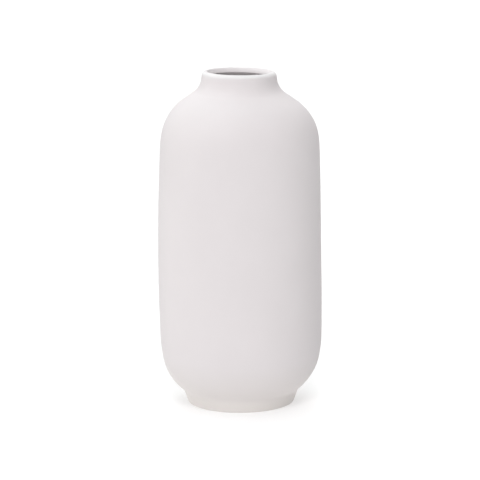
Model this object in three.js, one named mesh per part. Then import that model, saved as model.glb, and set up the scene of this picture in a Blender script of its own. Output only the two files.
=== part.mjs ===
// A free-standing ceramic bud vase: a slip-cast clay body, a matte glaze over its outside and lip,
// a liner glaze that makes its inside hold water, and a patch of glaze in the recess under its foot.
// Millimetres, +Z up. The origin is the centre of the circle that the foot ring stands on.
import * as THREE from "three";

// Driving dimensions. A heading is the slope of the wall in degrees from straight down: positive
// where the wall runs outwards, negative where it runs inwards, and -90 on the level underside.
const HEIGHT = 165; // floor to the top of the lip
const WALL = 4.2; // the wall with its glazes
const GLAZE = 0.4; // thickness of each coat of glaze
const LIP_RADIUS = 16.2; // axis to the middle of the lip's round
const LIP_END = 125; // the heading past the lip's top where its round ends
const LIP_FACE = { radius: 4.9, heading: 150 }; // the flatter face down into the mouth
const LIP_EDGE = { radius: 0.5, heading: 203 }; // the tight edge at the mouth, a little undercut
const COLLAR = { length: 2, heading: 7.5 }; // the short straight wall under the lip
const NECK = { radius: 9.7, heading: 55 }; // a hollow curve that turns the collar outwards
const NECK_SLOPE = 6.5; // the straight between neck and shoulder
const SHOULDER = { radius: 25.5, heading: 11.5 };
const UPPER_SIDE = { radius: 43, heading: 2.1 };
const BARREL_HEADING = -1.1; // the end of the nearly upright side, whose radius follows from HEIGHT
const LOWER_SIDE = { radius: 67, heading: -11.3 };
const TUCK = { radius: 26.4, heading: -53.4 }; // draws the body in to the foot
const FOOT = { height: 7.1, heading: -20, edge: 1.9 }; // a tapered wall with a rounded lower edge
const RING_WIDTH = 3.7; // the flat ring that the vase stands on
const RECESS_ROUND = 0.8; // the rounding of the recess's lower edge and of its inner corner
const MATTE_END = 25; // the heading in the neck where the matte glaze meets the liner, inside
const DRY_LINE = -55; // the heading on the foot's edge where the glaze is wiped off
const AROUND = 48; // facets round the axis
const CHORD_ERROR = 0.2; // how far a facet may lie off its arc

const LIP_ROUND = WALL / 2; // rounds the lip's outer half and its top
const LEVEL = -90;

const sine = (heading) => Math.sin(THREE.MathUtils.degToRad(heading));
const cosine = (heading) => Math.cos(THREE.MathUtils.degToRad(heading));

// A point of the outline: its distance from the axis, its height, and the heading of the wall there.
const station = (r, z, heading) => ({ r, z, heading });

// The point at a depth under the face at a station, or outside it where the depth is negative.
const under = ({ r, z, heading }, depth) =>
  station(r - depth * cosine(heading), z - depth * sine(heading), heading);

const layer = (stations, depth) => stations.map((s) => under(s, depth));

const upwards = (stations) => [...stations].reverse();

// How many facets an arc needs to turn by an angle.
function facets(radius, turn) {
  const facet = THREE.MathUtils.radToDeg(2 * Math.acos(1 - CHORD_ERROR / Math.abs(radius)));
  return Math.ceil(Math.abs(turn) / facet);
}

// Stations on a circle between two headings, without the first. A hollow's radius is negative.
function sweep(centre, radius, from, to, steps = facets(radius, to - from)) {
  const headings = Array.from({ length: steps }, (_, i) => from + ((to - from) * (i + 1)) / steps);
  return headings.map((h) => under(station(centre.r, centre.z, h), -radius));
}

// Stations along an arc that carries the wall on smoothly from a station to a new heading.
function arc(start, radius, heading) {
  const signed = heading < start.heading ? radius : -radius;
  return sweep(under(start, signed), signed, start.heading, heading);
}

// Stations along an arc that carries the lip on over its top and into the mouth.
const over = (start, radius, heading, steps) =>
  sweep(under(start, radius), radius, start.heading, heading, steps);

// The end of a straight that carries the wall on from a station.
const straight = ({ r, z, heading }, length) =>
  station(r + length * sine(heading), z - length * cosine(heading), heading);

// How far down an arc runs between two headings.
const drop = (radius, from, to) => radius * Math.abs(sine(from) - sine(to));

// The barrel's radius makes its arc fill the height that the other stretches of the wall leave.
const otherHeights = [
  LIP_ROUND * (1 - sine(COLLAR.heading)),
  COLLAR.length * cosine(COLLAR.heading),
  drop(NECK.radius, COLLAR.heading, NECK.heading),
  NECK_SLOPE * cosine(NECK.heading),
  drop(SHOULDER.radius, NECK.heading, SHOULDER.heading),
  drop(UPPER_SIDE.radius, SHOULDER.heading, UPPER_SIDE.heading),
  drop(LOWER_SIDE.radius, BARREL_HEADING, LOWER_SIDE.heading),
  drop(TUCK.radius, LOWER_SIDE.heading, TUCK.heading),
  FOOT.height,
];
const barrelHeight = otherHeights.reduce((left, height) => left - height, HEIGHT);
const barrelRadius = barrelHeight / drop(1, UPPER_SIDE.heading, BARREL_HEADING);

// The outer face, downwards: from the lip to where the matte glaze ends inside, then to the foot,
// then under the floor of the hollow, where only the inner faces follow it.
const lipCentre = station(LIP_RADIUS, HEIGHT - LIP_ROUND, COLLAR.heading);
const wallTop = under(lipCentre, -LIP_ROUND);
const collarEnd = straight(wallTop, COLLAR.length);
const collar = [wallTop, collarEnd, ...arc(collarEnd, NECK.radius, MATTE_END)];
const body = arc(collar.at(-1), NECK.radius, NECK.heading);
body.push(straight(body.at(-1), NECK_SLOPE));
body.push(...arc(body.at(-1), SHOULDER.radius, SHOULDER.heading));
body.push(...arc(body.at(-1), UPPER_SIDE.radius, UPPER_SIDE.heading));
body.push(...arc(body.at(-1), barrelRadius, BARREL_HEADING));
body.push(...arc(body.at(-1), LOWER_SIDE.radius, LOWER_SIDE.heading));
body.push(...arc(body.at(-1), TUCK.radius, TUCK.heading));
const floor = arc(body.at(-1), TUCK.radius, LEVEL);
const outside = [...collar, ...body];

// The stretch that the inner wall follows, from where the lip's underside meets it at the collar's
// end to where the matte glaze ends.
const throat = collar.slice(1);

// The lip at a depth: its round top, its face into the mouth and its tight edge.
function lip(depth) {
  const top = sweep(lipCentre, LIP_ROUND - depth, COLLAR.heading, LIP_END, 4);
  const face = over(top.at(-1), LIP_FACE.radius - depth, LIP_FACE.heading, 2);
  const edge = over(face.at(-1), LIP_EDGE.radius - depth, LIP_EDGE.heading, 2);
  return [...top, ...face, ...edge];
}

// The foot's wall and rounded edge at a depth, downwards. The coat runs out under the edge, where
// it and the clay both come level with the floor.
function foot(depth) {
  const edge = FOOT.edge - depth;
  const top = { ...under(body.at(-1), depth), heading: FOOT.heading };
  const bottom = straight(top, (top.z - drop(edge, FOOT.heading, LEVEL)) / cosine(FOOT.heading));
  const centre = under(bottom, edge);
  const dryFacets = facets(FOOT.edge, LEVEL - DRY_LINE);
  const glazedFacets = facets(FOOT.edge, DRY_LINE - FOOT.heading);
  return {
    glazed: [bottom, ...sweep(centre, edge, FOOT.heading, DRY_LINE, glazedFacets)],
    dry: sweep(centre, edge, DRY_LINE, LEVEL, dryFacets),
  };
}

// The recess under the foot, from its ceiling's rim outwards and down to the ring.
const ringInner = foot(GLAZE).dry.at(-1).r - RING_WIDTH;
const ceiling = under(station(0, floor.at(-1).z, LEVEL), GLAZE);
const cornerCentre = { r: ringInner - 2 * RECESS_ROUND, z: ceiling.z - RECESS_ROUND };
const ringEdgeCentre = { r: ringInner, z: RECESS_ROUND };

// The recess's inner corner at a depth over the clay, from the ceiling to the recess's wall.
const corner = (coat) => [
  under(station(cornerCentre.r, cornerCentre.z, LEVEL), RECESS_ROUND - coat),
  ...sweep(
    cornerCentre,
    coat - RECESS_ROUND,
    LEVEL,
    LEVEL - 90,
    facets(RECESS_ROUND, 90),
  ),
];

// The ring's inner edge, from the recess's wall down to the flat.
const ringEdge = [
  station(ringInner - RECESS_ROUND, RECESS_ROUND, LEVEL - 90),
  ...sweep(ringEdgeCentre, RECESS_ROUND, LEVEL - 90, LEVEL),
];

const onAxis = ({ z }) => station(0, z, LEVEL);

// A named solid made by turning a closed outline round the axis.
function turned(name, stations, finish) {
  const outline = stations.map(({ r, z }) => new THREE.Vector2(r, z));
  const geometry = new THREE.LatheGeometry(outline, AROUND).rotateX(Math.PI / 2);
  const mesh = new THREE.Mesh(geometry, new THREE.MeshStandardMaterial(finish));
  mesh.name = name;
  return mesh;
}

// The cast body, all of one thickness but for the foot ring. It is bare only on the ring.
function clayBody() {
  const innerFace = layer([...throat, ...body, ...floor], WALL - GLAZE);
  const { glazed, dry } = foot(GLAZE);
  const outline = [
    ceiling,
    ...corner(0),
    ...ringEdge,
    ...upwards([...layer(outside, GLAZE), ...glazed, ...dry]),
    ...lip(GLAZE),
    ...innerFace,
    onAxis(innerFace.at(-1)),
  ];
  return turned("clay_body", outline, { color: 0xe3ddd6, roughness: 0.9, metalness: 0 });
}

// The coat over the foot, body, neck and lip, and a little way down the inside.
function matteGlaze() {
  const outer = upwards([...outside, ...foot(0).glazed]);
  const overLip = [...lip(0), ...layer(throat, WALL)];
  const underLip = upwards([...lip(GLAZE), ...layer(throat, WALL - GLAZE)]);
  const inner = [...layer(outside, GLAZE), ...foot(GLAZE).glazed];
  const outline = [...outer, ...overLip, ...underLip, ...inner, outer[0]];
  return turned("matte_glaze", outline, { color: 0xe7e2df, roughness: 0.75, metalness: 0 });
}

// The coat that lines the hollow, from the matte glaze's inner edge down over the floor.
function linerGlaze() {
  const hollow = [collar.at(-1), ...body, ...floor];
  const onClay = layer(hollow, WALL - GLAZE);
  const wet = layer(hollow, WALL);
  const outline = [onAxis(onClay.at(-1)), ...upwards(onClay), ...wet, onAxis(wet.at(-1))];
  return turned("liner_glaze", outline, { color: 0xe9e5e1, roughness: 0.3, metalness: 0 });
}

// The coat left in the recess when the foot ring is wiped clean.
function footGlaze() {
  const face = corner(GLAZE);
  const onClay = upwards(corner(0));
  const outline = [onAxis(face[0]), ...face, ...onClay, onAxis(onClay.at(-1))];
  return turned("foot_glaze", outline, { color: 0xe7e2df, roughness: 0.75, metalness: 0 });
}

const vase = new THREE.Group();
vase.add(clayBody(), matteGlaze(), linerGlaze(), footGlaze());

export default vase;
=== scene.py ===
"""The finished look of a slip-cast ceramic bud vase: its bare clay, its coats of glaze and a studio.

Each piece is turned on the vase's axis from an outline, as on a wheel. An outline is a list of
stations, and a station holds the distance from the axis, the height and the heading of the wall
there: its slope from straight down, positive where the wall runs outwards.
"""

import math
from collections import namedtuple

import bpy
from bpy.props import FloatProperty, FloatVectorProperty, IntProperty, PointerProperty
from mathutils import Matrix, Vector


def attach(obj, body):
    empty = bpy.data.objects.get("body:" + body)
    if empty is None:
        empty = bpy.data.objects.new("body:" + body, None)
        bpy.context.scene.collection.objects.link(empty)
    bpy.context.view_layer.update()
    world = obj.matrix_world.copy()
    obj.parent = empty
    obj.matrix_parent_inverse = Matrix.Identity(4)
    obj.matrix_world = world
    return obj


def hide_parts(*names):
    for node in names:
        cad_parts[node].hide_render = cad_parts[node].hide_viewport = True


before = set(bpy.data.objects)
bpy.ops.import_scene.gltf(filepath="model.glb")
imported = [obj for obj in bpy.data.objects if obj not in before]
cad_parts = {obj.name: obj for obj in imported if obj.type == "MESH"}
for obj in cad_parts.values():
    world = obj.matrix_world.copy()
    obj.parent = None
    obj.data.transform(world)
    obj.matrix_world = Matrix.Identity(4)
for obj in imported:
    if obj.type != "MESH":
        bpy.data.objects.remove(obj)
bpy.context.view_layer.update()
BODY = "root"
LEVEL = -math.pi / 2

bl_info = {
    "name": "Ceramic Bud Vase",
    "version": (1, 0, 0),
    "blender": (4, 5, 0),
    "location": "3D View > Sidebar > Bud Vase",
    "description": "Turns a slip-cast bud vase, glazes it and sets a studio up round it",
    "category": "Add Mesh",
}


# ---------------------------------------------------------------- sizes and colours


def length(name, description, metres):
    """A size in metres."""
    return FloatProperty(
        name=name, description=description, default=metres, min=0, unit="LENGTH", precision=5
    )


def angle(name, description, degrees):
    """An angle, shown in degrees."""
    return FloatProperty(
        name=name, description=description, default=math.radians(degrees), subtype="ANGLE"
    )


def colour(name, description, red, green, blue):
    """A colour in linear light."""
    return FloatVectorProperty(
        name=name,
        description=description,
        default=(red, green, blue),
        min=0,
        max=1,
        size=3,
        subtype="COLOR",
    )


def share(name, description, default):
    """A number between 0 and 1."""
    return FloatProperty(
        name=name, description=description, default=default, min=0, max=1, subtype="FACTOR"
    )


class VaseShape(bpy.types.PropertyGroup):
    """The sizes that the vase's outline follows from."""

    height: length("Height", "Floor to the top of the lip", 0.165)
    wall: length("Wall", "The wall with its glazes", 0.0042)
    glaze: length("Glaze", "Thickness of each coat of glaze", 0.0004)
    lip_radius: length("Lip", "Axis to the middle of the lip's round", 0.0162)
    lip_end: angle("Lip End", "Slope where the round over the lip's top ends", 125)
    lip_face: length("Lip Face", "Radius of the flatter face down into the mouth", 0.0049)
    lip_face_end: angle("Lip Face End", "Slope where that face ends", 150)
    lip_edge: length("Lip Edge", "Rounding of the edge at the mouth", 0.0005)
    lip_edge_end: angle("Lip Edge End", "Slope of the edge's underside", 203)
    collar: length("Collar", "The short straight wall under the lip", 0.002)
    collar_heading: angle("Collar Heading", "Slope of the collar", 7.5)
    neck: length("Neck", "Radius of the hollow curve under the collar", 0.0097)
    neck_heading: angle("Neck Heading", "Slope where the hollow curve ends", 55)
    neck_slope: length("Neck Slope", "The straight between neck and shoulder", 0.0065)
    shoulder: length("Shoulder", "Radius of the shoulder", 0.0255)
    shoulder_heading: angle("Shoulder Heading", "Slope where the shoulder ends", 11.5)
    upper: length("Upper Side", "Radius of the curve between shoulder and barrel", 0.043)
    upper_heading: angle("Upper Heading", "Slope at the top of the barrel", 2.1)
    barrel_heading: angle("Barrel Heading", "Slope at the bottom of the barrel", -1.1)
    lower: length("Lower Side", "Radius of the curve under the barrel", 0.067)
    lower_heading: angle("Lower Heading", "Slope where the tuck begins", -11.3)
    tuck: length("Tuck", "Radius of the curve that draws the body in to the foot", 0.0264)
    tuck_heading: angle("Tuck Heading", "Slope where the body meets the foot", -53.4)
    foot: length("Foot", "Height of the foot", 0.0071)
    foot_heading: angle("Foot Heading", "Slope of the foot's wall", -20)
    foot_edge: length("Foot Edge", "Rounding of the foot's lower edge", 0.0019)
    foot_hollow: length("Foot Hollow", "Softening of the line where body and foot meet", 0.0017)
    lip_hollow: length("Lip Hollow", "Softening of the corner under the lip's edge", 0.0003)
    ring: length("Ring", "Width of the flat ring that the vase stands on", 0.0037)
    recess_round: length("Recess Round", "Rounding inside the recess under the foot", 0.0008)
    matte_end: angle("Matte End", "Slope in the neck where matte glaze meets liner", 25)
    dry_line: angle("Dry Line", "Slope on the foot's edge where the glaze is wiped off", -55)
    glaze_lip: length("Glaze Lip", "Rounding of each coat's edge", 0.00012)
    unevenness: length("Unevenness", "How far the matte coat swells and thins", 0.00007)
    sway: length("Sway", "How far the fired wall wanders to either side of its axis", 0.00022)
    sway_length: length("Sway Length", "Height over which the wander repeats", 0.115)
    sway_start: length("Sway Start", "Height at which it is furthest to the right", 0.026)
    mouth_shift: length("Mouth Shift", "How far the mouth's edge lies left of the lip", 0.0007)
    neck_lean: angle("Neck Lean", "How far the neck and lip settled to the right in firing", 0.9)
    foot_lean: angle("Foot Lean", "How far the wall over the foot settled to the left", 0.5)
    around: IntProperty(
        name="Around", description="Steps of one turn of the wheel", default=160, min=24
    )


class VaseFinish(bpy.types.PropertyGroup):
    """The colours and the dullness of clay and glazes."""

    # The coat's own colour. The three colours under it are painted light and shade laid over it.
    matte: colour("Matte Glaze", "The outer coat where it lies thick", 0.788, 0.752, 0.764)
    # Painted shade: the outer coat darker and warmer over the foot's crease and the tuck, where shade
    # falls.
    matte_thin: colour("Crease Shade", "The outer coat over the foot's crease", 0.755, 0.715, 0.695)
    # Painted light: the outer coat lighter and warmer on the foot's wall, where it catches more light
    # than the crease above.
    foot: colour("Foot", "The outer coat on the foot", 0.812, 0.774, 0.752)
    # Painted highlight: the outer coat paler over the lip's top, where it catches the light.
    lip: colour("Lip", "The outer coat where it breaks paler over the lip", 0.84, 0.825, 0.83)
    matte_roughness: share("Matte Roughness", "Dullness of the outer coat", 0.72)
    clay: colour("Clay", "The fired clay", 0.74, 0.70, 0.66)
    clay_roughness: share("Clay Roughness", "Dullness of the bare clay", 0.92)
    liner: colour("Liner Glaze", "The coat inside", 0.80, 0.77, 0.75)
    liner_roughness: share("Liner Roughness", "Dullness of the coat inside", 0.3)


class VaseStudio(bpy.types.PropertyGroup):
    """The camera, the floor and the light."""

    distance: length("Distance", "Camera to the middle of the vase", 1.418)
    elevation: angle("Elevation", "Height of the camera above the level of its aim", 10.455)
    roll: angle("Roll", "Lean of the camera", -0.37)
    aim_drop: length("Aim Drop", "How far under the middle of the vase the camera aims", 0.00113)
    lens: FloatProperty(
        name="Lens", description="Focal length in millimetres", default=215.9, min=1
    )
    floor: colour("Floor", "The floor's milky acrylic", 0.5, 0.5, 0.5)
    floor_width: length("Floor Width", "Width of the floor", 12)
    floor_glow: FloatProperty(
        name="Floor Glow", description="Light that comes up through the floor", default=0.53, min=0
    )
    backdrop: FloatProperty(
        name="Backdrop", description="Brightness of what is seen past the floor", default=1.2, min=0
    )


# ---------------------------------------------------------------- outlines

Station = namedtuple("Station", "r z heading")
ARC_STEP = math.radians(4)
LONGEST_STEP = 0.004  # along a wide arc, in metres


def under(station, depth):
    """The point at a depth under the face at a station."""
    return Station(
        station.r - depth * math.cos(station.heading),
        station.z - depth * math.sin(station.heading),
        station.heading,
    )


def layer(stations, depth):
    """The stations of a face that runs at a depth under another."""
    return [under(station, depth) for station in stations]


def upwards(stations):
    """The stations in the opposite order."""
    return stations[::-1]


def on_axis(station):
    """The point on the axis at a station's height."""
    return Station(0.0, station.z, LEVEL)


def sweep(centre, radius, start, end, steps=None):
    """Stations on a circle between two headings, without the first. A hollow's radius is negative."""
    turn = end - start
    count = max(abs(turn) / ARC_STEP, abs(turn * radius) / LONGEST_STEP)
    steps = steps or math.ceil(count)
    headings = [start + turn * (i + 1) / steps for i in range(steps)]
    return [under(Station(centre.r, centre.z, heading), -radius) for heading in headings]


def arc(start, radius, heading):
    """Stations along an arc that carries the wall on from a station to a new heading."""
    signed = radius if heading < start.heading else -radius
    return sweep(under(start, signed), signed, start.heading, heading)


def over(start, radius, heading):
    """Stations along an arc that carries the lip on over its top and into the mouth."""
    return sweep(under(start, radius), radius, start.heading, heading)


def straight(start, run):
    """The end of a straight that carries the wall on from a station."""
    return Station(
        start.r + run * math.sin(start.heading),
        start.z - run * math.cos(start.heading),
        start.heading,
    )


def drop(radius, start, end):
    """How far down an arc runs between two headings."""
    return radius * abs(math.sin(start) - math.sin(end))


class Wall:
    """The stations of the vase's outer face, from which every other face follows."""

    def __init__(self, shape):
        self.shape = shape
        self.lip_round = shape.wall / 2
        self.lip_centre = Station(
            shape.lip_radius, shape.height - self.lip_round, shape.collar_heading
        )
        top = under(self.lip_centre, -self.lip_round)
        end = straight(top, shape.collar)
        self.collar = [top, end, *arc(end, shape.neck, shape.matte_end)]
        self.body = arc(self.collar[-1], shape.neck, shape.neck_heading)
        self.body.append(straight(self.body[-1], shape.neck_slope))
        self.turn(shape.shoulder, shape.shoulder_heading)
        self.turn(shape.upper, shape.upper_heading)
        self.turn(self.barrel_radius(), shape.barrel_heading)
        self.turn(shape.lower, shape.lower_heading)
        self.turn(shape.tuck, shape.tuck_heading)
        self.floor = arc(self.body[-1], shape.tuck, LEVEL)
        self.outside = [*self.collar, *self.body]
        self.throat = self.collar[1:]

    def turn(self, radius, heading):
        """Carries the body on with an arc."""
        self.body += arc(self.body[-1], radius, heading)

    def barrel_radius(self):
        """The radius that makes the barrel fill the height the other stretches leave."""
        shape = self.shape
        left = self.body[-1].z - shape.foot
        left -= drop(shape.lower, shape.barrel_heading, shape.lower_heading)
        left -= drop(shape.tuck, shape.lower_heading, shape.tuck_heading)
        return left / drop(1, shape.upper_heading, shape.barrel_heading)

    def lip(self, depth):
        """The lip at a depth: its round top, its face into the mouth and its tight edge."""
        shape = self.shape
        faces = sweep(
            self.lip_centre, self.lip_round - depth, shape.collar_heading, shape.lip_end
        )
        faces += over(faces[-1], shape.lip_face - depth, shape.lip_face_end)
        faces += over(faces[-1], shape.lip_edge - depth, shape.lip_edge_end)
        return faces

    def lined(self, stations, depth):
        """The inner face, a glaze's depth or none under the wet face."""
        return layer(stations, self.shape.wall - depth)

    def foot(self, depth):
        """The foot at a depth: its glazed wall and edge, and the dry rest of its edge."""
        shape = self.shape
        edge = shape.foot_edge - depth
        top = under(self.body[-1], depth)._replace(heading=shape.foot_heading)
        fall = top.z - drop(edge, shape.foot_heading, LEVEL)
        bottom = straight(top, fall / math.cos(shape.foot_heading))
        centre = under(bottom, edge)
        glazed = [bottom, *sweep(centre, edge, shape.foot_heading, shape.dry_line)]
        return glazed, sweep(centre, edge, shape.dry_line, LEVEL)

    def ceiling(self):
        """The middle of the clay's face over the recess."""
        return under(on_axis(self.floor[-1]), self.shape.glaze)

    def ring_inner(self):
        """The inner radius of the flat ring."""
        return self.foot(self.shape.glaze)[1][-1].r - self.shape.ring

    def recess_corner(self, coat):
        """The recess's inner corner under a coat of glaze, from the ceiling to the wall."""
        round_ = self.shape.recess_round
        centre = Station(self.ring_inner() - 2 * round_, self.ceiling().z - round_, LEVEL)
        hollow = coat - round_
        return [under(centre, -hollow), *sweep(centre, hollow, LEVEL, 2 * LEVEL)]

    def ring_edge(self):
        """The ring's inner edge, from the recess's wall down to the flat."""
        round_ = self.shape.recess_round
        centre = Station(self.ring_inner(), round_, 2 * LEVEL)
        return [under(centre, -round_), *sweep(centre, round_, 2 * LEVEL, LEVEL)]


# ---------------------------------------------------------------- turning a piece

REACH = 1e-5  # points this near a station belong to it
WELD = 2e-6  # points this near each other become one
CREASE_ANGLE = math.radians(35)  # sharper corners than this keep an edge in the shading


def draw(name, stations):
    """Extrudes one point along an outline in the X-Z plane. The new piece is left in edit mode."""
    points = [Vector((station.r, 0, station.z)) for station in stations]
    bpy.ops.object.select_all(action="DESELECT")
    bpy.ops.mesh.primitive_plane_add(size=0.001, location=points[0])
    piece = bpy.context.object
    piece.name = piece.data.name = name
    bpy.ops.object.transform_apply(location=True, rotation=True, scale=True)
    bpy.ops.object.mode_set(mode="EDIT")
    bpy.ops.mesh.select_mode(type="VERT")
    bpy.ops.mesh.select_all(action="SELECT")
    bpy.ops.mesh.merge(type="CENTER")
    for last, point in zip(points, points[1:]):
        bpy.ops.mesh.extrude_vertices_move(TRANSFORM_OT_translate={"value": point - last})
    return piece


def select_points(piece, stations):
    """Selects the outline's points that stand at some stations."""
    places = [Vector((station.r, 0, station.z)) for station in stations]
    bpy.ops.mesh.select_all(action="DESELECT")
    bpy.ops.object.mode_set(mode="OBJECT")
    for vertex in piece.data.vertices:
        vertex.select = any((vertex.co - place).length < REACH for place in places)
    bpy.ops.object.mode_set(mode="EDIT")


def soften(piece, stations, offset, segments):
    """Rounds the outline's corners at some stations."""
    select_points(piece, stations)
    bpy.ops.mesh.bevel(offset=offset, segments=segments, affect="VERTICES")


def spin(piece, around):
    """Turns the outline once round the axis and closes the skin that it sweeps."""
    bpy.ops.mesh.select_all(action="SELECT")
    bpy.ops.mesh.spin(steps=around, angle=2 * math.pi, center=(0, 0, 0), axis=(0, 0, 1))
    bpy.ops.mesh.select_all(action="SELECT")
    bpy.ops.mesh.remove_doubles(threshold=WELD)
    bpy.ops.mesh.normals_make_consistent(inside=False)
    bpy.ops.object.mode_set(mode="OBJECT")
    bpy.ops.object.shade_smooth_by_angle(angle=CREASE_ANGLE)


# The lattice that bends the pieces: its levels from the floor to the lip, the points in each, and
# its width in metres.
LEVELS = 12
POINTS_IN_LEVEL = 4
CAGE_WIDTH = 0.1


def settle(piece, shape):
    """Gives a true round piece the slight sway and lean that the whole vase took in the kiln.

    A lattice bends every piece alike, so that the coats stay on the clay. Its levels are evenly
    spaced, and the lowest stays level with the floor.
    """
    bpy.ops.object.select_all(action="DESELECT")
    bpy.ops.object.add(type="LATTICE", location=(0, 0, shape.height / 2))
    cage = bpy.context.object
    cage.scale = (CAGE_WIDTH, CAGE_WIDTH, shape.height)
    cage.data.points_u, cage.data.points_v, cage.data.points_w = 2, 2, LEVELS
    cage.data.interpolation_type_u = cage.data.interpolation_type_v = "KEY_LINEAR"
    cage.data.interpolation_type_w = "KEY_CATMULL_ROM"
    leans = {1: -shape.foot_lean, LEVELS - 2: shape.neck_lean, LEVELS - 1: shape.neck_lean}
    for number, point in enumerate(cage.data.points):
        level = number // POINTS_IN_LEVEL
        turn = 2 * math.pi * (shape.height * level / (LEVELS - 1) - shape.sway_start)
        sideways = shape.sway * math.cos(turn / shape.sway_length)
        fall = point.co.x * CAGE_WIDTH * math.tan(leans.get(level, 0.0))
        point.co_deform += Vector((sideways / CAGE_WIDTH, 0, -fall / shape.height))
    bend = piece.modifiers.new("settle", "LATTICE")
    bend.object = cage
    bpy.context.view_layer.objects.active = piece
    bpy.ops.object.modifier_apply(modifier=bend.name)
    bpy.data.lattices.remove(cage.data)


def ease(value):
    """A value held between 0 and 1, with both ends made gentle."""
    held = max(0.0, min(1.0, value))
    return held * held * (3 - 2 * held)


def shift_mouth(piece, shape):
    """Moves the mouth's edge to the left under the lip, alike in every piece.

    The move grows inwards over the wall's inner half, and upwards from two neck radii below the
    lip's top to one.
    """
    throat = piece.vertex_groups.new(name="throat")
    for vertex in piece.data.vertices:
        inside = (shape.lip_radius - vertex.co.xy.length) / (shape.wall / 2)
        above = (vertex.co.z - shape.height) / shape.neck + 2
        throat.add([vertex.index], ease(inside) * ease(above), "REPLACE")
    push = piece.modifiers.new("shift_mouth", "DISPLACE")
    push.direction = "X"
    push.mid_level = 0.0
    push.strength = -shape.mouth_shift
    push.vertex_group = throat.name
    bpy.context.view_layer.objects.active = piece
    bpy.ops.object.modifier_apply(modifier=push.name)
    piece.vertex_groups.clear()


def finish_piece(piece, material, node):
    """Settles a piece, gives it its material and puts it in the place of its CAD node."""
    shape = bpy.context.scene.bud_vase_shape
    shift_mouth(piece, shape)
    settle(piece, shape)
    piece.data.materials.append(material)
    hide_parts(node)
    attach(piece, BODY)


# ---------------------------------------------------------------- materials


def add(tree, kind, links=None, **settings):
    """A node with its settings, and with its inputs linked or given values."""
    made = tree.nodes.new(kind)
    for name, value in settings.items():
        setattr(made, name, value)
    for name, value in (links or {}).items():
        if isinstance(value, bpy.types.NodeSocket):
            tree.links.new(value, made.inputs[name])
        else:
            made.inputs[name].default_value = value
    return made


def new_material(name):
    """An empty material, its node tree, its shader and the object's own coordinates."""
    material = bpy.data.materials.new(name)
    material.use_nodes = True
    tree = material.node_tree
    tree.nodes.clear()
    shader = add(tree, "ShaderNodeBsdfPrincipled")
    add(tree, "ShaderNodeOutputMaterial", {"Surface": shader.outputs["BSDF"]})
    place = add(tree, "ShaderNodeTexCoord").outputs["Object"]
    return material, tree, shader, place


def noise(tree, place, pattern):
    """A soft random pattern."""
    links = {"Vector": place, "Scale": pattern.swells, "Detail": pattern.detail}
    return add(tree, "ShaderNodeTexNoise", links).outputs["Fac"]


def spread(tree, value, low, high, to_low=0.0, to_high=1.0):
    """A value's range carried over to another."""
    made = add(
        tree,
        "ShaderNodeMapRange",
        {
            "Value": value,
            "From Min": low,
            "From Max": high,
            "To Min": to_low,
            "To Max": to_high,
        },
    )
    return made.outputs["Result"]


def mix(tree, factor, first, second):
    """Two colours mixed."""
    made = add(tree, "ShaderNodeMix", data_type="RGBA")
    sockets = {"Factor_Float": factor, "A_Color": first, "B_Color": second}
    for socket in made.inputs:
        value = sockets.get(socket.identifier)
        if isinstance(value, bpy.types.NodeSocket):
            tree.links.new(value, socket)
        elif value is not None:
            socket.default_value = value
    return next(output for output in made.outputs if output.identifier == "Result_Color")


def opaque(rgb, gain=1.0):
    """A colour with full cover, made a little lighter or darker."""
    return (*(min(1.0, channel * gain) for channel in rgb), 1.0)


def clouded(tree, place, pattern, limits, rgb, dark, light):
    """A colour that a pattern makes darker where it is low and lighter where it is high."""
    clouds = spread(tree, noise(tree, place, pattern), *limits)
    return mix(tree, clouds, opaque(rgb, dark), opaque(rgb, light))


def relief(tree, place, pattern, below=None):
    """A pattern as a relief, over another relief if there is one."""
    height = noise(tree, place, pattern)
    links = {"Height": height, "Distance": pattern.height, "Strength": 1.0}
    if below:
        links["Normal"] = below
    return add(tree, "ShaderNodeBump", links).outputs["Normal"]


# A random pattern: how many swells it has to the metre, how finely they break up and, where it is
# a relief, how high it stands in metres.
Pattern = namedtuple("Pattern", "swells detail height", defaults=(0.0,))
CHALK_CLOUDS = Pattern(40.0, 3.0)
CHALK_SHEEN = Pattern(900.0, 2.0)
CHALK_SWELL = Pattern(160.0, 2.0, 0.00002)
CHALK_TOOTH = Pattern(2600.0, 3.0, 0.000012)
CLAY_GRAIN = Pattern(1500.0, 4.0)
CLAY_GRIT = Pattern(3200.0, 4.0, 0.00003)
LINER_CLOUDS = Pattern(55.0, 2.0)
LINER_SWELL = Pattern(120.0, 1.0, 0.00004)

# A pattern's values that count as its low and its high: the soft pair keeps most of its steps,
# and the sharp pair brings out its grain.
SOFT = (0.3, 0.7)
SHARP = (0.35, 0.65)
SHEEN_DRIFT = 0.05  # how far the outer coat's dullness varies to either side

# Where the outer coat's painted light and shade lie, in metres: the heights between which the
# lighter painted light on the foot gives way to the body's tone, the painted shade over the foot's
# crease fades and the painted highlight on the lip comes in, and the distances from the axis between
# which that highlight comes in, outwards.
FOOT_LIGHT_TOP = (0.0045, 0.0085)
CREASE_SHADE_FADE = (0.01, 0.026)
LIP_HIGHLIGHT_TOP = (0.1628, 0.164)
LIP_HIGHLIGHT_OUTER = (0.0152, 0.0168)
CREASE_SHADE_SHARE = (0.75, 0.1)  # how much of the painted crease shade there is below its fade and above it


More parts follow.
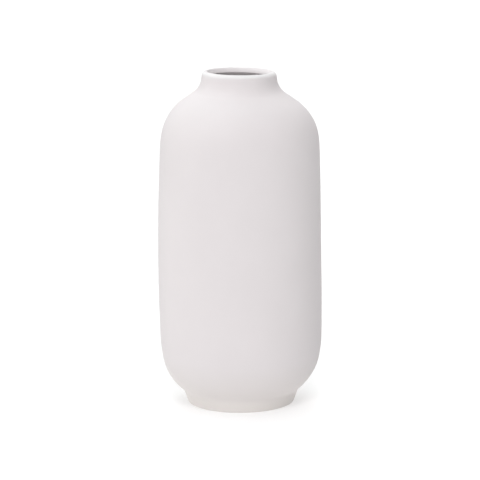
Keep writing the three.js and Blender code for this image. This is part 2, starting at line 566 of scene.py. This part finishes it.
def chalky_glaze(finish):
    """A chalky off-white glaze: faint clouds and a fine tooth, with warmer painted light on the foot,
    painted shade over the foot's crease and a painted highlight on the lip.
    """
    material, tree, shader, place = new_material("chalky_glaze")
    body = clouded(tree, place, CHALK_CLOUDS, SOFT, finish.matte, dark=0.988, light=1.012)
    height = add(tree, "ShaderNodeSeparateXYZ", {"Vector": place}).outputs["Z"]
    # Painted shade over the foot's crease, strongest low down and fading up the tuck.
    shade_share = spread(tree, height, *CREASE_SHADE_FADE, *CREASE_SHADE_SHARE)
    crease_shaded = mix(tree, shade_share, body, opaque(finish.matte_thin))
    # Painted light: a lighter, warmer tone on the foot, giving way to the body's tone above it.
    above_foot_light = spread(tree, height, *FOOT_LIGHT_TOP)
    foot_lit = mix(tree, above_foot_light, opaque(finish.foot), crease_shaded)
    flat = add(
        tree, "ShaderNodeVectorMath", {0: place, 1: (1.0, 1.0, 0.0)}, operation="MULTIPLY"
    )
    radius = add(tree, "ShaderNodeVectorMath", {0: flat.outputs["Vector"]}, operation="LENGTH")
    # Painted highlight: a paler tone over the outer half of the lip's top.
    top = spread(tree, height, *LIP_HIGHLIGHT_TOP)
    lip_highlight = spread(tree, radius.outputs["Value"], *LIP_HIGHLIGHT_OUTER, 0.0, top)
    coat = mix(tree, lip_highlight, foot_lit, opaque(finish.lip))
    tree.links.new(coat, shader.inputs["Base Color"])
    sheen = noise(tree, place, CHALK_SHEEN)
    dullness = finish.matte_roughness
    dull = spread(tree, sheen, *SOFT, dullness - SHEEN_DRIFT, dullness + SHEEN_DRIFT)
    tree.links.new(dull, shader.inputs["Roughness"])
    swell = relief(tree, place, CHALK_SWELL)
    tooth = relief(tree, place, CHALK_TOOTH, swell)
    tree.links.new(tooth, shader.inputs["Normal"])
    shader.inputs["Specular IOR Level"].default_value = 0.3
    return material


def fired_clay(finish):
    """Dry fired clay: a warm off-white with a sandy grain."""
    material, tree, shader, place = new_material("fired_clay")
    tone = clouded(tree, place, CLAY_GRAIN, SHARP, finish.clay, dark=0.95, light=1.03)
    tree.links.new(tone, shader.inputs["Base Color"])
    grit = relief(tree, place, CLAY_GRIT)
    tree.links.new(grit, shader.inputs["Normal"])
    shader.inputs["Roughness"].default_value = finish.clay_roughness
    shader.inputs["Specular IOR Level"].default_value = 0.2
    return material


def poured_glaze(finish):
    """A smooth satin glaze with the slight swell of a poured coat."""
    material, tree, shader, place = new_material("poured_glaze")
    tone = clouded(tree, place, LINER_CLOUDS, SOFT, finish.liner, dark=0.985, light=1.01)
    tree.links.new(tone, shader.inputs["Base Color"])
    poured = relief(tree, place, LINER_SWELL)
    tree.links.new(poured, shader.inputs["Normal"])
    shader.inputs["Roughness"].default_value = finish.liner_roughness
    shader.inputs["Specular IOR Level"].default_value = 0.5
    return material


def shared_material(make, finish):
    """The material that a function makes, made only once."""
    return bpy.data.materials.get(make.__name__) or make(finish)


# ---------------------------------------------------------------- pieces


class BUDVASE_OT_cast_body(bpy.types.Operator):
    """Turn the cast clay body, which is bare only on the ring that it stands on"""

    bl_idname = "bud_vase.cast_body"
    bl_label = "Cast Body"

    def execute(self, context):
        shape = context.scene.bud_vase_shape
        wall = Wall(shape)
        depth = shape.glaze
        glazed, dry = wall.foot(depth)
        outer = [*layer(wall.outside, depth), *glazed, *dry]
        inner = wall.lined([*wall.throat, *wall.body, *wall.floor], depth)
        outline = [
            wall.ceiling(),
            *wall.recess_corner(0),
            *wall.ring_edge(),
            *upwards(outer),
            *wall.lip(depth),
            *inner,
            on_axis(inner[-1]),
        ]
        piece = draw("cast_body", outline)
        spin(piece, shape.around)
        clay = shared_material(fired_clay, context.scene.bud_vase_finish)
        finish_piece(piece, clay, "clay_body")
        return {"FINISHED"}


class BUDVASE_OT_matte_coat(bpy.types.Operator):
    """Glaze the foot, body, neck and lip, and a little way down the inside"""

    bl_idname = "bud_vase.matte_coat"
    bl_label = "Matte Coat"

    def execute(self, context):
        shape = context.scene.bud_vase_shape
        wall = Wall(shape)
        depth = shape.glaze
        foot_face, foot_back = wall.foot(0)[0], wall.foot(depth)[0]
        lip_face = [*wall.lip(0), *wall.lined(wall.throat, 0)]
        lip_back = [*wall.lip(depth), *wall.lined(wall.throat, depth)]
        outline = [
            *upwards([*wall.outside, *foot_face]),
            *lip_face,
            *upwards(lip_back),
            *layer(wall.outside, depth),
            *foot_back,
            foot_face[-1],
        ]
        piece = draw("matte_coat", outline)
        bpy.ops.mesh.select_all(action="SELECT")
        bpy.ops.mesh.remove_doubles(threshold=WELD)
        soften(piece, [foot_face[-1], lip_face[-1]], shape.glaze_lip, 3)
        soften(piece, [wall.body[-1]], shape.foot_hollow, 8)
        soften(piece, wall.lined(wall.throat[:1], 0), shape.lip_hollow, 5)
        spin(piece, shape.around)
        self.swell(piece, shape)
        glaze = shared_material(chalky_glaze, context.scene.bud_vase_finish)
        finish_piece(piece, glaze, "matte_glaze")
        return {"FINISHED"}

    def swell(self, piece, shape):
        """Makes the outer face very slightly uneven, as a dipped coat is."""
        face = piece.vertex_groups.new(name="outer_face")
        for vertex in piece.data.vertices:
            out = vertex.normal.xy.dot(vertex.co.xy.normalized())
            above_edge = min(1.0, (vertex.co.z - shape.foot) / shape.foot)
            below_lip = min(1.0, (shape.height - vertex.co.z) / shape.lip_radius)
            weight = max(0.0, min(above_edge, below_lip)) if out > 0 else 0.0
            face.add([vertex.index], weight, "REPLACE")
        texture = bpy.data.textures.new("dipped_coat", "CLOUDS")
        texture.noise_scale = 0.022
        texture.noise_depth = 1
        uneven = piece.modifiers.new("uneven", "DISPLACE")
        uneven.texture = texture
        uneven.texture_coords = "LOCAL"
        uneven.vertex_group = face.name
        uneven.strength = 2 * shape.unevenness
        bpy.ops.object.modifier_apply(modifier=uneven.name)


class BUDVASE_OT_liner_coat(bpy.types.Operator):
    """Line the hollow from the matte glaze's inner edge down over its floor"""

    bl_idname = "bud_vase.liner_coat"
    bl_label = "Liner Coat"

    def execute(self, context):
        shape = context.scene.bud_vase_shape
        wall = Wall(shape)
        hollow = [wall.collar[-1], *wall.body, *wall.floor]
        on_clay = wall.lined(hollow, shape.glaze)
        wet = wall.lined(hollow, 0)
        outline = [on_axis(on_clay[-1]), *upwards(on_clay), *wet, on_axis(wet[-1])]
        piece = draw("liner_coat", outline)
        soften(piece, [wet[0]], shape.glaze_lip, 3)
        spin(piece, shape.around)
        glaze = shared_material(poured_glaze, context.scene.bud_vase_finish)
        finish_piece(piece, glaze, "liner_glaze")
        return {"FINISHED"}


class BUDVASE_OT_foot_coat(bpy.types.Operator):
    """Glaze the recess under the foot"""

    bl_idname = "bud_vase.foot_coat"
    bl_label = "Foot Coat"

    def execute(self, context):
        shape = context.scene.bud_vase_shape
        wall = Wall(shape)
        face = wall.recess_corner(shape.glaze)
        on_clay = upwards(wall.recess_corner(0))
        outline = [on_axis(face[0]), *face, *on_clay, on_axis(on_clay[-1])]
        piece = draw("foot_coat", outline)
        soften(piece, [face[-1]], shape.glaze_lip, 3)
        spin(piece, shape.around)
        glaze = shared_material(chalky_glaze, context.scene.bud_vase_finish)
        finish_piece(piece, glaze, "foot_glaze")
        return {"FINISHED"}


# ---------------------------------------------------------------- studio

# Azimuth 0 is the camera's side and 90 the vase's right. Angles are in degrees, and spread is how
# wide the lamp looks from the vase.
Lamp = namedtuple("Lamp", "name azimuth elevation spread strength tint")
LAMPS = [
    Lamp("key_lamp", 0, 45, 20, 1.22, (1.0, 0.98, 0.97)),
    Lamp("low_key_lamp", -30, 20, 20, 0.33, (1.0, 0.97, 1.0)),
    Lamp("overhead_lamp", 0, 85, 60, 1.53, (0.99, 0.99, 1.0)),
    Lamp("side_lamp", -105, 10, 50, 1.04, (1.0, 0.99, 0.95)),
    Lamp("rim_lamp", -150, 60, 50, 0.43, (0.78, 1.0, 1.0)),
    Lamp("back_lamp", 168, 35, 50, 1.02, (1.0, 0.96, 0.94)),
]


def facing(azimuth, elevation):
    """The direction from the vase to a place in the studio."""
    flat = math.cos(elevation)
    return Vector(
        (math.sin(azimuth) * flat, -math.cos(azimuth) * flat, math.sin(elevation))
    )


def stand(thing, target, direction, distance, roll=0.0):
    """Puts a light or the camera at a distance from a target, and points it there."""
    thing.location = target + direction * distance
    turn = (-direction).to_track_quat("-Z", "Y").to_matrix() @ Matrix.Rotation(roll, 3, "Z")
    thing.rotation_euler = turn.to_euler()


def linked(name, data):
    """A new object in the scene."""
    made = bpy.data.objects.new(name, data)
    bpy.context.scene.collection.objects.link(made)
    return made


class BUDVASE_OT_stage(bpy.types.Operator):
    """Lay a pale glowing floor, hang the lamps and set the camera up"""

    bl_idname = "bud_vase.stage"
    bl_label = "Stage"

    def execute(self, context):
        scene = context.scene
        studio = scene.bud_vase_studio
        middle = Vector((0, 0, scene.bud_vase_shape.height / 2))
        self.lay_floor(studio)
        self.hang_lamps(middle)
        self.light_room(scene, studio)
        self.set_camera(scene, studio, middle)
        scene.view_settings.view_transform = "Standard"
        return {"FINISHED"}

    def lay_floor(self, studio):
        """A wide milky floor, lit from below and level with the foot ring."""
        bpy.ops.object.select_all(action="DESELECT")
        bpy.ops.mesh.primitive_plane_add(size=studio.floor_width)
        floor = bpy.context.object
        floor.name = "studio_floor"
        material, _tree, shader, _place = new_material("milky_acrylic")
        shader.inputs["Base Color"].default_value = opaque(studio.floor)
        shader.inputs["Emission Color"].default_value = opaque((1.0, 1.0, 1.0))
        shader.inputs["Emission Strength"].default_value = studio.floor_glow
        shader.inputs["Roughness"].default_value = 0.9
        shader.inputs["Specular IOR Level"].default_value = 0.0
        floor.data.materials.append(material)

    def hang_lamps(self, middle):
        """Soft lamps, so far off that they light the vase and the floor evenly."""
        for lamp in LAMPS:
            light = bpy.data.lights.new(lamp.name, "SUN")
            light.angle = math.radians(lamp.spread)
            light.energy = lamp.strength
            light.color = lamp.tint
            direction = facing(math.radians(lamp.azimuth), math.radians(lamp.elevation))
            stand(linked(lamp.name, light), middle, direction, 1.0)

    def light_room(self, scene, studio):
        """A bright backdrop where the camera sees past the floor, which lights nothing itself."""
        room = bpy.data.worlds.new("studio_room")
        room.use_nodes = True
        tree = room.node_tree
        tree.nodes.clear()
        seen = add(tree, "ShaderNodeLightPath").outputs["Is Camera Ray"]
        strength = spread(tree, seen, 0.0, 1.0, 0.0, studio.backdrop)
        glow = add(tree, "ShaderNodeBackground", {"Strength": strength})
        glow.inputs["Color"].default_value = opaque((1.0, 1.0, 1.0))
        add(tree, "ShaderNodeOutputWorld", {"Surface": glow.outputs["Background"]})
        scene.world = room

    def set_camera(self, scene, studio, middle):
        """A long lens a little above the vase, looking down at it."""
        lens = bpy.data.cameras.new("camera")
        lens.lens = studio.lens
        lens.clip_end = 2 * studio.floor_width
        camera = linked("camera", lens)
        aim = middle - Vector((0, 0, studio.aim_drop))
        stand(camera, aim, facing(0.0, studio.elevation), studio.distance, studio.roll)
        scene.camera = camera


class BUDVASE_PT_sidebar(bpy.types.Panel):
    """The vase's pieces, in the order in which they are made"""

    bl_idname = "BUDVASE_PT_sidebar"
    bl_label = "Bud Vase"
    bl_space_type = "VIEW_3D"
    bl_region_type = "UI"
    bl_category = "Bud Vase"

    def draw(self, context):
        for operator in OPERATORS:
            self.layout.operator(operator.bl_idname)
        for group in (
            context.scene.bud_vase_shape,
            context.scene.bud_vase_finish,
            context.scene.bud_vase_studio,
        ):
            box = self.layout.box()
            for name in group.__annotations__:
                box.prop(group, name)


OPERATORS = (
    BUDVASE_OT_cast_body,
    BUDVASE_OT_matte_coat,
    BUDVASE_OT_liner_coat,
    BUDVASE_OT_foot_coat,
    BUDVASE_OT_stage,
)
GROUPS = {
    "bud_vase_shape": VaseShape,
    "bud_vase_finish": VaseFinish,
    "bud_vase_studio": VaseStudio,
}


def register():
    """Makes the add-on's classes known and hangs its settings on the scene."""
    for cls in (*GROUPS.values(), *OPERATORS, BUDVASE_PT_sidebar):
        bpy.utils.register_class(cls)
    for name, group in GROUPS.items():
        setattr(bpy.types.Scene, name, PointerProperty(type=group))


def unregister():
    """Takes the settings and the classes away again."""
    for name in GROUPS:
        delattr(bpy.types.Scene, name)
    for cls in reversed((*GROUPS.values(), *OPERATORS, BUDVASE_PT_sidebar)):
        bpy.utils.unregister_class(cls)


def main():
    """Makes every piece and the stage."""
    register()
    bpy.ops.bud_vase.stage()
    bpy.ops.bud_vase.cast_body()
    bpy.ops.bud_vase.matte_coat()
    bpy.ops.bud_vase.liner_coat()
    bpy.ops.bud_vase.foot_coat()


if __name__ == "__main__":
    main()
